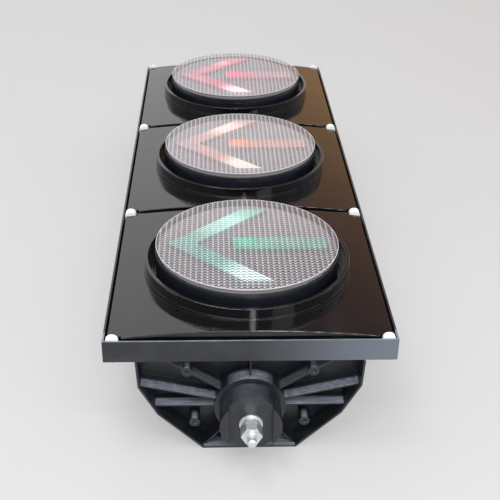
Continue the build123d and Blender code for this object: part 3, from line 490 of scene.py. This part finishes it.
wall = add(tree, "MapRange", {"Value": reach.outputs["Value"], "From Min": (TONGUE_R - 1) * MM,
                             "From Max": TONGUE_R * MM, "To Min": 0.04, "To Max": 0.30})
veil = add(tree, "Mix", {0: face.outputs["Result"], 2: wall.outputs["Result"], 3: veil.outputs[0]},
           data_type="FLOAT")
veil = add(tree, "Mix", {0: lip.outputs[0], 2: veil.outputs[0], 3: 0.75}, data_type="FLOAT")
tree.links.new(veil.outputs[0], shader.inputs["Alpha"])


def dome_height(radius):
    """Height of the smooth dome at a radius from its axis."""
    return LENS_CROWN - DOME_RADIUS + math.sqrt(DOME_RADIUS ** 2 - radius ** 2)


def lens_blank():
    """The cover turned from its section, with a smooth dome."""
    steps = 24
    outside = [(LENS_RIM * i / steps, dome_height(LENS_RIM * i / steps)) for i in range(steps + 1)]
    inner = LENS_RIM - LENS_WALL
    under = [(inner * i / steps, dome_height(inner * i / steps) - LENS_WALL) for i in range(steps + 1)]
    tongue = TONGUE_R - TONGUE_WALL
    side = [(LENS_RIM, LENS_BASE), (TONGUE_R, LENS_BASE), (TONGUE_R, TONGUE_LOW), (tongue, TONGUE_LOW),
            (tongue, LENS_BASE + 1), (inner, LENS_BASE + 1 + TONGUE_WALL)]
    bm = bmesh.new()
    rings = [bm.verts.new((r, 0, z)) for r, z in outside + side + under[::-1]]
    chain = [bm.edges.new(pair) for pair in zip(rings, rings[1:])]
    bmesh.ops.spin(bm, geom=rings + chain, cent=(0, 0, 0), axis=(0, 0, 1), angle=math.tau, steps=ROUND_STEPS,
                   use_merge=True)
    bmesh.ops.remove_doubles(bm, verts=bm.verts, dist=1e-4)
    bmesh.ops.recalc_face_normals(bm, faces=bm.faces)
    return bm


def lenslet_field():
    """A block whose upper face is the whole field of pillows, following the dome."""
    fine = 4
    bm = bmesh.new()
    bmesh.ops.create_grid(bm, x_segments=LENSLETS_ACROSS * fine,
                           y_segments=LENSLETS_ALONG * fine, size=1.0)
    bmesh.ops.scale(bm, vec=(LENSLETS_ACROSS * LENSLET_X / 2, LENSLETS_ALONG * LENSLET_Y / 2, 1),
                    verts=bm.verts)
    for v in bm.verts:
        u = 2 * ((v.co.x / LENSLET_X + 0.5) % 1) - 1
        w = 2 * ((v.co.y / LENSLET_Y + 0.5) % 1) - 1
        dome = dome_height(math.hypot(v.co.x, v.co.y))
        v.co.z = dome - LENSLET_DEPTH * (0.6 * u * u + 0.4 * w * w)
    raised = bmesh.ops.extrude_face_region(bm, geom=bm.faces[:])["geom"]
    low = [v for v in raised if isinstance(v, bmesh.types.BMVert)]
    for v in low:
        v.co.z = TONGUE_LOW - 5
    bmesh.ops.recalc_face_normals(bm, faces=bm.faces)
    return bm


def temporary(bm, name):
    """A scratch object for a Boolean."""
    mesh = bpy.data.meshes.new(name)
    bm.to_mesh(mesh)
    bm.free()
    obj = bpy.data.objects.new(name, mesh)
    bpy.context.scene.collection.objects.link(obj)
    return obj


def combined(first, second, operation):
    """The Boolean of two scratch objects as a new mesh; both are removed."""
    cutter = first.modifiers.new("cut", "BOOLEAN")
    cutter.operation = operation
    cutter.object = second
    cutter.solver = "EXACT"
    evaluated = first.evaluated_get(bpy.context.evaluated_depsgraph_get())
    mesh = bpy.data.meshes.new_from_object(evaluated)
    for obj in (first, second):
        bpy.data.objects.remove(obj)
    return mesh


lens_mesh = combined(temporary(lens_blank(), "blank"), temporary(lenslet_field(), "field"), "INTERSECT")
for section, y in SECTIONS.items():
    mesh = lens_mesh.copy()
    mesh.name = f"{section}_lens_cover"
    mesh.transform(Matrix.Translation((0, y, 0)) @ Matrix.Scale(MM, 4))
    mesh.polygons.foreach_set("use_smooth", [True] * len(mesh.polygons))
    mesh.set_sharp_from_angle(angle=math.radians(35))
    mesh.materials.clear()
    mesh.materials.append(cover)
    lens = bpy.data.objects.new(f"{section}_lens_cover", mesh)
    bpy.context.scene.collection.objects.link(lens)
    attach(lens, f"{section}_leaf")
    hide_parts(f"{section}_lens")

# ---- LEDs ----
# Round lamps of coloured clear epoxy with domed tips, soldered in rows to the
# boards. The tips are paler, as light gathers there.
for section, (deep, pale) in TINTS.items():
    epoxy, tree, shader, place = start_material(f"cast_{section}_epoxy", IOR=1.54, Roughness=0.08)
    height = add(tree, "SeparateXYZ", {"Vector": place}).outputs["Z"]
    tip = add(tree, "MapRange", {"Value": height, "From Min": 215 * MM, "From Max": 221 * MM})
    hue = add(tree, "Mix", {0: tip.outputs["Result"], 6: linear(deep), 7: linear(pale)}, data_type="RGBA")
    tree.links.new(hue.outputs[2], shader.inputs["Base Color"])
    dress([f"{section}_arrow_leds"], epoxy)

# ---- circuit boards ----
# LED boards are glass-epoxy laminate under white solder resist. Driver boards
# have green resist, and their transformers, coolers and terminals stand above.
resist, tree, shader, place = start_material("white_solder_resist", IOR=1.5, Roughness=0.35)
weave = add(tree, "TexNoise", {"Vector": place, "Scale": 1 / (3 * MM), "Detail": 2.0})
tone = add(tree, "Mix", {0: weave.outputs["Fac"], 6: linear("#d9d9d3"), 7: linear("#ecece6")},
           data_type="RGBA")
tree.links.new(tone.outputs[2], shader.inputs["Base Color"])
dress([f"{s}_led_board" for s in SECTIONS], resist)

driver, tree, shader, place = start_material("green_solder_resist_and_parts", IOR=1.5, Roughness=0.4)
height = add(tree, "SeparateXYZ", {"Vector": place}).outputs["Z"]
above = add(tree, "MapRange", {"Value": height, "From Min": 151.7 * MM, "From Max": 151.9 * MM})
tracks = add(tree, "TexVoronoi", {"Vector": place, "Scale": 1 / (5 * MM)}, distance="MANHATTAN")
track_mask = add(tree, "MapRange", {"Value": tracks.outputs["Distance"], "From Min": 0.45, "From Max": 0.5})
green = add(tree, "Mix", {0: track_mask.outputs["Result"], 6: linear("#1f6a3a"), 7: linear("#174f2b")},
            data_type="RGBA")
tone = add(tree, "Mix", {0: above.outputs["Result"], 6: green.outputs[2], 7: linear("#26282c")},
           data_type="RGBA")
tree.links.new(tone.outputs[2], shader.inputs["Base Color"])
dress([f"{s}_driver_board" for s in SECTIONS], driver)

# ---- lead glands ----
# Moulded black nylon bushes, matt and slightly cloudy, screwed into the backs
# of the bowls.
gland_skin, tree, shader, place = start_material("moulded_black_nylon", IOR=1.53, Roughness=0.55)
cloud = add(tree, "TexNoise", {"Vector": place, "Scale": 1 / (2 * MM), "Detail": 3.0})
tone = add(tree, "Mix", {0: cloud.outputs["Fac"], 6: linear("#151516"), 7: linear("#262628")},
           data_type="RGBA")
tree.links.new(tone.outputs[2], shader.inputs["Base Color"])
dress([f"{s}_lead_gland" for s in SECTIONS], gland_skin)

# ---- module clips and their screws, block screws ----
# Stamped and rolled stainless steel with fine brush lines, which draw out the
# highlights. The screws hold the clips and the white blocks down.
stainless, tree, shader, place = start_material("brushed_stainless_steel", Metallic=1.0)
brushed = add(tree, "Mapping", {"Vector": place, "Scale": (1 / (8 * MM), 1 / (0.4 * MM), 1 / (0.4 * MM))})
lines = add(tree, "TexNoise", {"Vector": brushed.outputs["Vector"], "Scale": 1.0, "Detail": 3.0})
tone = add(tree, "Mix", {0: lines.outputs["Fac"], 6: linear("#a9abab"), 7: linear("#cfd1d1")},
           data_type="RGBA")
tree.links.new(tone.outputs[2], shader.inputs["Base Color"])
rough = add(tree, "MapRange", {"Value": lines.outputs["Fac"], "To Min": 0.22, "To Max": 0.42})
tree.links.new(rough.outputs["Result"], shader.inputs["Roughness"])
dress([f"{s}_{kind}" for s in SECTIONS for kind in ("module_clips", "clip_screws")] + ["block_screws"],
      stainless)

# ---- nuts, washers, joint screws and the tie rod ----
# Steel with bright zinc plating, passivated. The plating is slightly cloudy, so
# it glints softly instead of mirroring. Threads are left plain.
zinc, tree, shader, place = start_material("bright_zinc_plated_steel", Metallic=1.0)
rounded = add(tree, "Bevel", {"Radius": 0.4 * MM}, samples=4).outputs["Normal"]
cloud = add(tree, "TexNoise", {"Vector": place, "Scale": 1 / (5 * MM), "Detail": 5.0})
tone = add(tree, "Mix", {0: cloud.outputs["Fac"], 6: linear("#c4c7cb"), 7: linear("#eef0f2")},
           data_type="RGBA")
tree.links.new(tone.outputs[2], shader.inputs["Base Color"])
rough = add(tree, "MapRange", {"Value": cloud.outputs["Fac"], "To Min": 0.35, "To Max": 0.60})
tree.links.new(rough.outputs["Result"], shader.inputs["Roughness"])
tree.links.new(rounded, shader.inputs["Normal"])
dress(["joint_screws", "joint_nuts", "flat_washers", "spring_washers", "jam_nuts", "end_nuts",
       "terminal_screws",
       "tie_rod"], zinc)

# ---- end caps ----
# Round caps of the same moulded polycarbonate as the housings. Each is clamped
# on its boss by the washers and nuts of the tie rod.
dress(["upper_cap", "lower_cap"], housing_skin)

# ---- terminal block ----
# Compression-moulded grey phenolic resin, matt and faintly speckled. It is
# screwed into the green section.
phenolic, tree, shader, place = start_material("moulded_grey_phenolic", IOR=1.6, Roughness=0.5)
cloud = add(tree, "TexNoise", {"Vector": place, "Scale": 1 / (1.2 * MM), "Detail": 3.0})
tone = add(tree, "Mix", {0: cloud.outputs["Fac"], 6: linear("#3c4043"), 7: linear("#565a5d")},
           data_type="RGBA")
tree.links.new(tone.outputs[2], shader.inputs["Base Color"])
dress(["terminal_block"], phenolic)
